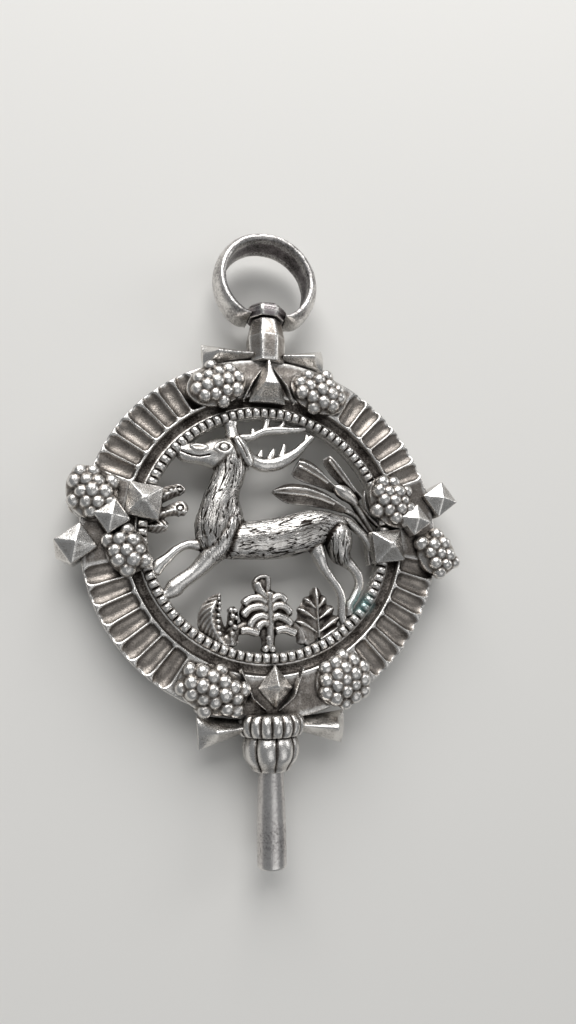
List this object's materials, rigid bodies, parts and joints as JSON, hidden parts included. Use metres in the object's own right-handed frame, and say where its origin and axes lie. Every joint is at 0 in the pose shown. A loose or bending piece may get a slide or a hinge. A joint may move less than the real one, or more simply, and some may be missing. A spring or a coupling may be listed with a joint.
{
  "type": "watch key",
  "caption": "Round openwork fob watch key with a leaping stag inside a fluted frame, grape clusters, faceted studs, a swivelling bow ring and a square-socket winding pipe",
  "frame": {"origin": "centre of the mouth of the winding pipe", "axes": "+Y runs along the key from the pipe to the bow, +Z comes out of the front face, +X is to the right seen from the front; Z = 0 is the key's middle plane"},
  "size_m": [0.0452, 0.0704, 0.0074],
  "materials": {
    "silver": "aged cast silver, worn bright on the edges and dark in the recesses",
    "bow_silver": "worn smooth silver",
    "pipe_metal": "worn silver tube with a warm tarnish"
  },
  "bodies": {
    "key": {"bead_ring_back": "silver", "bead_ring_front": "silver", "bottom_kite_back": "silver", "bottom_kite_front": "silver", "bottom_wedge_left": "silver", "bottom_wedge_right": "silver", "bulb": "silver", "calyx_leaf_left_back": "silver", "calyx_leaf_left_front": "silver", "calyx_leaf_right_back": "silver", "calyx_leaf_right_front": "silver", "centre_stud_left_back": "silver", "centre_stud_left_front": "silver", "centre_stud_right_back": "silver", "centre_stud_right_front": "silver", "collar": "silver", "grapes_bottom_left_back": "silver", "grapes_bottom_left_front": "silver", "grapes_bottom_right_back": "silver", "grapes_bottom_right_front": "silver", "grapes_left_lower_back": "silver", "grapes_left_lower_front": "silver", "grapes_left_upper_back": "silver", "grapes_left_upper_front": "silver", "grapes_right_lower_back": "silver", "grapes_right_lower_front": "silver", "grapes_right_upper_back": "silver", "grapes_right_upper_front": "silver", "grapes_top_left_back": "silver", "grapes_top_left_front": "silver", "grapes_top_right_back": "silver", "grapes_top_right_front": "silver", "ground_palmette": "silver", "inner_stud_left_back": "silver", "inner_stud_left_front": "silver", "inner_stud_right_back": "silver", "inner_stud_right_front": "silver", "left_ground_leaf": "silver", "left_leaf_spray": "silver", "neck_post": "silver", "outer_stud_left": "silver", "outer_stud_right": "silver", "right_ground_leaf": "silver", "right_leaf_spray": "silver", "rim_frame": "silver", "stag": "silver", "top_bar_left": "silver", "top_bar_right": "silver", "top_kite_back": "silver", "top_kite_front": "silver", "top_leaf_left_back": "silver", "top_leaf_left_front": "silver", "top_leaf_right_back": "silver", "top_leaf_right_front": "silver", "winding_pipe": "pipe_metal"},
    "bow": {"bow_ring": "bow_silver", "bow_knob": "bow_silver", "swivel_pin": "pipe_metal"}
  },
  "joints": [
    {"name": "bow_swivel", "type": "hinge", "parent": "key", "child": "bow", "pos_m": [0, 0.0592, 0], "axis": [0, 1, 0], "continuous": true}
  ]
}
